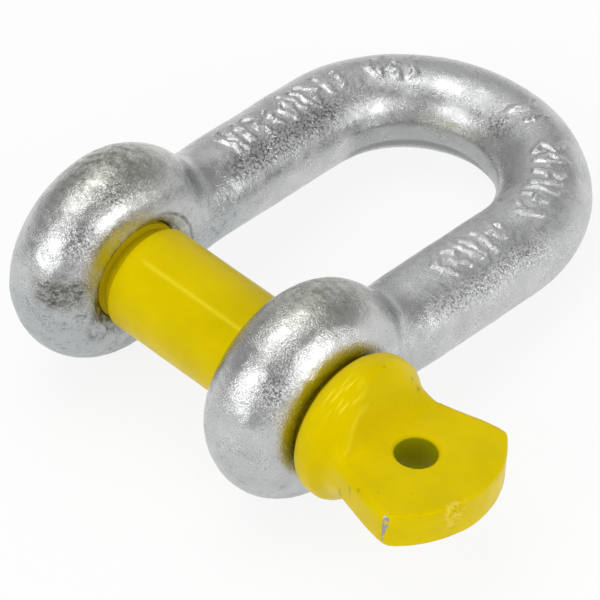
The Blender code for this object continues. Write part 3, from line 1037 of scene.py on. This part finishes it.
def tail_rings():
    rings = []
    for t in np.linspace(0, 1, TAIL_RINGS)[1:]:
        x = mix(FLAT_X, TAIL_CORNER_X, t)
        ring = section(x, head_half_width(x), TAB_HALF, mix(TAB_EDGE_ROUND, TAIL_CORNER_ROUND, t**3))
        arc = TAIL_X - TAIL_RADIUS - TAIL_EDGE_ROUND + np.sqrt(TAIL_RADIUS**2 - ring[:, 1] ** 2)
        ring[:, 0] += (arc - TAIL_CORNER_X) * t**2
        rings.append(ring)
    last = rings[-1]
    for angle in np.linspace(0, math.pi / 2, EDGE_RINGS)[1:]:
        ring = last.copy()
        ring[:, 0] += TAIL_EDGE_ROUND * math.sin(angle)
        ring[:, 2] *= 1 - TAIL_EDGE_ROUND * (1 - math.cos(angle)) / TAB_HALF
        rings.append(ring)
    return rings


print("head:", len(shoulder_rings()) + len(tail_rings()), "rings")


# %% [markdown]
# ### One loft
# All the rings together make the pin. A single flat face can't close the curved tail, so quads are ruled across it
# from the upper edge to the lower one.


# %% Skinning the pin
def ruled_end(pin_mesh, first):
    """Close the curved tail with quads from its upper to its lower edge."""
    bm = bmesh.new()
    bm.from_mesh(pin_mesh)
    bm.verts.ensure_lookup_table()
    caps = [f for f in bm.faces if len(f.verts) == PIN_SIDES and all(v.index >= first for v in f.verts)]
    bmesh.ops.delete(bm, geom=caps, context="FACES_ONLY")
    ring = [bm.verts[first + k] for k in range(PIN_SIDES)]
    for k in range(PIN_SIDES // 2):
        corners = [ring[k], ring[k + 1], ring[-k - 1], ring[-k]]
        bm.faces.new(list(dict.fromkeys(corners)))
    bmesh.ops.recalc_face_normals(bm, faces=bm.faces)
    bm.to_mesh(pin_mesh)
    bm.free()


rings = np.array(turned_rings() + collar_rings() + shoulder_rings() + tail_rings())
pin = grid_tube("painted_screw_pin", rings)
ruled_end(pin.data, (len(rings) - 1) * PIN_SIDES)
print("pin:", len(rings), "rings of", PIN_SIDES)

# %% [markdown]
# ### The eye
# The eye is punched through the tab. A punched hole narrows downwards, and its upper rim is eased, so the tool is a
# tapering stack of rings that widens at the top.

# %% Punching the eye
EYE_X = 55.55
EYE_RADIUS = 4.2
EYE_FOOT_RADIUS = 3.4
EYE_SIDES = 96
EYE_RIM = 0.5
EYE_STEP = 0.4
TOOL_HALF = 8

z = np.concatenate([[-TOOL_HALF], np.arange(-TAB_HALF - 0.1, TAB_HALF + 0.2, EYE_STEP), [TOOL_HALF]])[:, None]
narrowing = ease((TAB_HALF - z) / (2 * TAB_HALF))
r = mix(EYE_RADIUS, EYE_FOOT_RADIUS, narrowing) + np.clip(z - (TAB_HALF - EYE_RIM), 0, None)
round_eye = full_turn(EYE_SIDES)
eye_rings = np.stack([EYE_X + r * np.cos(round_eye), r * np.sin(round_eye), z + 0 * round_eye], axis=-1)
cut_or_join(pin, "DIFFERENCE", [grid_tube("eye_tool", eye_rings)])
print("eye:", len(eye_rings), "rings deep, pin now", len(pin.data.polygons), "faces")

# %% [markdown]
# ### Marks of the forge and the brush
# The shank is turned and nearly true. The collar was brushed thickly with paint, so it ripples a little round its
# edge, and the flattened tab keeps shallow dents. One run of paint dried along the shank, brush strokes show on the
# shoulder, and paint gathered in a bead where the shoulder meets the tab. All three are low ridges, and each is also
# lightened with a painted highlight.

# %% Ripples and dents
RIPPLE, DENT, SHANK_WAVE = 0.02, 0.045, 0.012

points = points_of(pin.data)
normals = normals_of(pin.data)
x, y, z = points.T
on_head = rising(x, COLLAR_X, 1.0)
on_tab = rising(x, SHOULDER_X, 4.0)
ripple = lumps(points * (0.35, 1, 1), 3.4, seed=41)
dents = lumps(points, 9, seed=42) + 0.4 * lumps(points, 4, seed=43)
painted = x >= SHANK_END_X
move = RIPPLE * ripple * on_head * (1 - 0.6 * on_tab) + DENT * dents * on_tab
move += SHANK_WAVE * lumps(points, 14, seed=44) * painted
print("dents up to", round(float(np.abs(move).max()), 2), "mm")

# %% Paint run, brush strokes and bead
RUN_ANGLE = 117.5  # where the run of paint lies, in degrees round the pin
RUN_WIDTH = 0.42
RUN_HEIGHT = 0.05
STROKE_HEIGHT = 0.045
BEAD_HEIGHT = 0.025
CREASE_ANGLES, CREASE_X = [107, 121, 135, 152], [45.5, 45.7, 46.4, 47.7]
BRUSHED = (42.2, -6.5, 12.6), (4.5, 6.5, 5.5)
PIN_SHARP_EDGE = math.radians(40)

around_pin = np.degrees(np.arctan2(z, y))
off_run = np.radians(around_pin - RUN_ANGLE) * PIN_RADIUS
run = line_at(off_run, RUN_WIDTH) * rising(x - SHANK_END_X, 3, 2) * (x < COLLAR_X)
hairs = lumps(np.stack([x, around_pin * 0.03, 0 * x], axis=1), 0.8, seed=45)
strokes = np.clip(hairs - 0.1, 0, 1.2) * near(points, *BRUSHED)
bead = line_at(x - np.interp(around_pin, CREASE_ANGLES, CREASE_X), 0.2)
bead *= rising(around_pin, 100, 8) * falling(around_pin, 162, 10)
move += RUN_HEIGHT * run + STROKE_HEIGHT * strokes + BEAD_HEIGHT * bead
points = points + normals * move[:, None]
set_points(pin.data, points)
pin.data.shade_smooth()
pin.data.set_sharp_from_angle(angle=PIN_SHARP_EDGE)
print("pin:", triangles_in(pin.data), "triangles")

# %% [markdown]
# ## Masks on the pin
# The threaded point stays bare steel. The tail has lost its paint at one sharp corner and a little along its rim, and
# it is worn pale at one place on its edge. A few dark specks sit on the collar and on the side of the tab. The inside
# of the eye is darkened with painted shade, and the run, the brush strokes and the bead are lightened with painted
# highlights.

# %% Bare thread, chips and specks
SPOTS = [
    # place, size
    ((43.0, 3.7, 14.4), 0.5),
    ((46.5, 9.8, 7.3), 0.9),
    ((45.1, 9.5, 9.1), 0.7),
    ((49.6, -13.6, -2.3), 0.9),
    ((52.6, -14.4, 2.2), 0.6),
    ((54.9, -14.7, 3.2), 0.6),
]
WORN_TAIL = (70.0, -5.2, 3.2), (2.0, 3.8, 2.0)

corner = rising(-y, 15.5, 0.6) * rising(x, 62.5, 0.5) * rising(z, -3.4, 1.2)
from_tail_edge = np.hypot(x - (TAIL_X - TAIL_RADIUS), y) - TAIL_RADIUS
rim = hump(from_tail_edge, -0.4, 0.9) * hump(np.abs(z) - TAB_HALF, -0.4, 1.0)
from_eye = np.hypot(x - EYE_X, y)
pin_masks = {
    "bare": falling(x, GROOVE_X - 0.8, 1.0),
    "chips": np.maximum(1.08 * corner, 0.45 * rim),
    "worn": near(points, *WORN_TAIL),
    # Painted highlight along the run, the brush strokes and the bead, which are also raised a little
    "thick_paint_and_highlight": 0.55 * run + 1.1 * strokes + 0.35 * bead,
    "spots": sum(near(points, place, size) for place, size in SPOTS),
    # Painted shade inside the eye
    "eye_shade": falling(from_eye, EYE_RADIUS + 0.2, 0.2) * falling(z, TAB_HALF - 0.3, 0.5),
}
set_masks(pin.data, pin_masks)

# %% [markdown]
# ## Paint
# Thick yellow enamel: strong in colour, half glossy, with a faint orange peel. Along the run, the brush strokes and
# the bead it is paler, a painted highlight. It wears to steel at the sharp corner of the tail, and small dark specks
# of dirt stick to it. Inside the eye it is darkened with painted shade.

# %% Colour of the enamel
YELLOW, DEEP_YELLOW = (0.72, 0.55, 0.0, 1), (0.66, 0.50, 0.0, 1)
HIGHLIGHT_YELLOW, PALE_YELLOW = (0.88, 0.72, 0.03, 1), (0.95, 0.75, 0.16, 1)
EYE_SHADE_OLIVE, SPECK_BROWN = (0.24, 0.245, 0.0, 1), (0.2, 0.15, 0.01, 1)
BARE_STEEL = (0.36, 0.36, 0.36, 1)

enamel, tree, output = new_tree("yellow enamel")
in_mm = in_millimetres()
worn = mask("worn")
colour = laid_over(YELLOW, remap(noise(9.0, 3.0), 0.35, 0.65), DEEP_YELLOW)
# Painted highlight: paler yellow along the run, the brush strokes and the bead
colour = laid_over(colour, mask("thick_paint_and_highlight"), HIGHLIGHT_YELLOW)
pale = times(worn, remap(noise(1.6, 3.0, 0.6), 0.46, 0.58))
colour = laid_over(colour, times(pale, 0.7), PALE_YELLOW)
# Painted shade: the inside of the eye is darkened to olive
colour = laid_over(colour, times(mask("eye_shade"), 0.9), EYE_SHADE_OLIVE)
specks = times(worn, remap(noise(0.7, 2.0, 0.5), 0.60, 0.64))
specks = maths("MAXIMUM", specks, remap(noise(0.8, 2.0, 0.5), 0.74, 0.78))
specks = maths("MAXIMUM", specks, mask("spots"))
colour = laid_over(colour, times(specks, 0.6), SPECK_BROWN)
chipped = remap(times(mask("chips"), noise(0.9, 4.0, 0.6)), 0.42, 0.46)
steel_shows = maths("MAXIMUM", chipped, remap(mask("bare"), 0.45, 0.55))
colour = laid_over(colour, steel_shows, BARE_STEEL)
print("enamel:", len(tree.nodes), "nodes")

# %% Gloss of the enamel
finish = {
    "Base Color": colour,
    "Roughness": remap(noise(4.0, 3.0), 0.3, 0.7, 0.30, 0.42),
    "Metallic": steel_shows,
    "Specular IOR Level": 0.14,
    "Specular Tint": (1.0, 0.82, 0.02, 1),
    "Normal": bump(noise(2.2, 3.0, 0.5), 0.03 * MM),
}
paint = add_node(tree, "ShaderNodeBsdfPrincipled", finish)
fill(tree, output.inputs["Surface"], paint.outputs["BSDF"])
pin.data.materials.clear()
pin.data.materials.append(enamel)
print("enamel:", len(tree.nodes), "nodes")

# %% [markdown]
# ## Handing over
# Each piece rides on its body, so the pin slides out with its joint, and each stands for its solid. The picture is
# shown with the plain view transform, in which a colour is what it says.

# %% Ride, replace and finish
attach(bow, "shackle_body")
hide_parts("shackle_body")
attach(pin, "screw_pin")
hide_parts("screw_pin")

bpy.context.scene.view_settings.view_transform = "Standard"
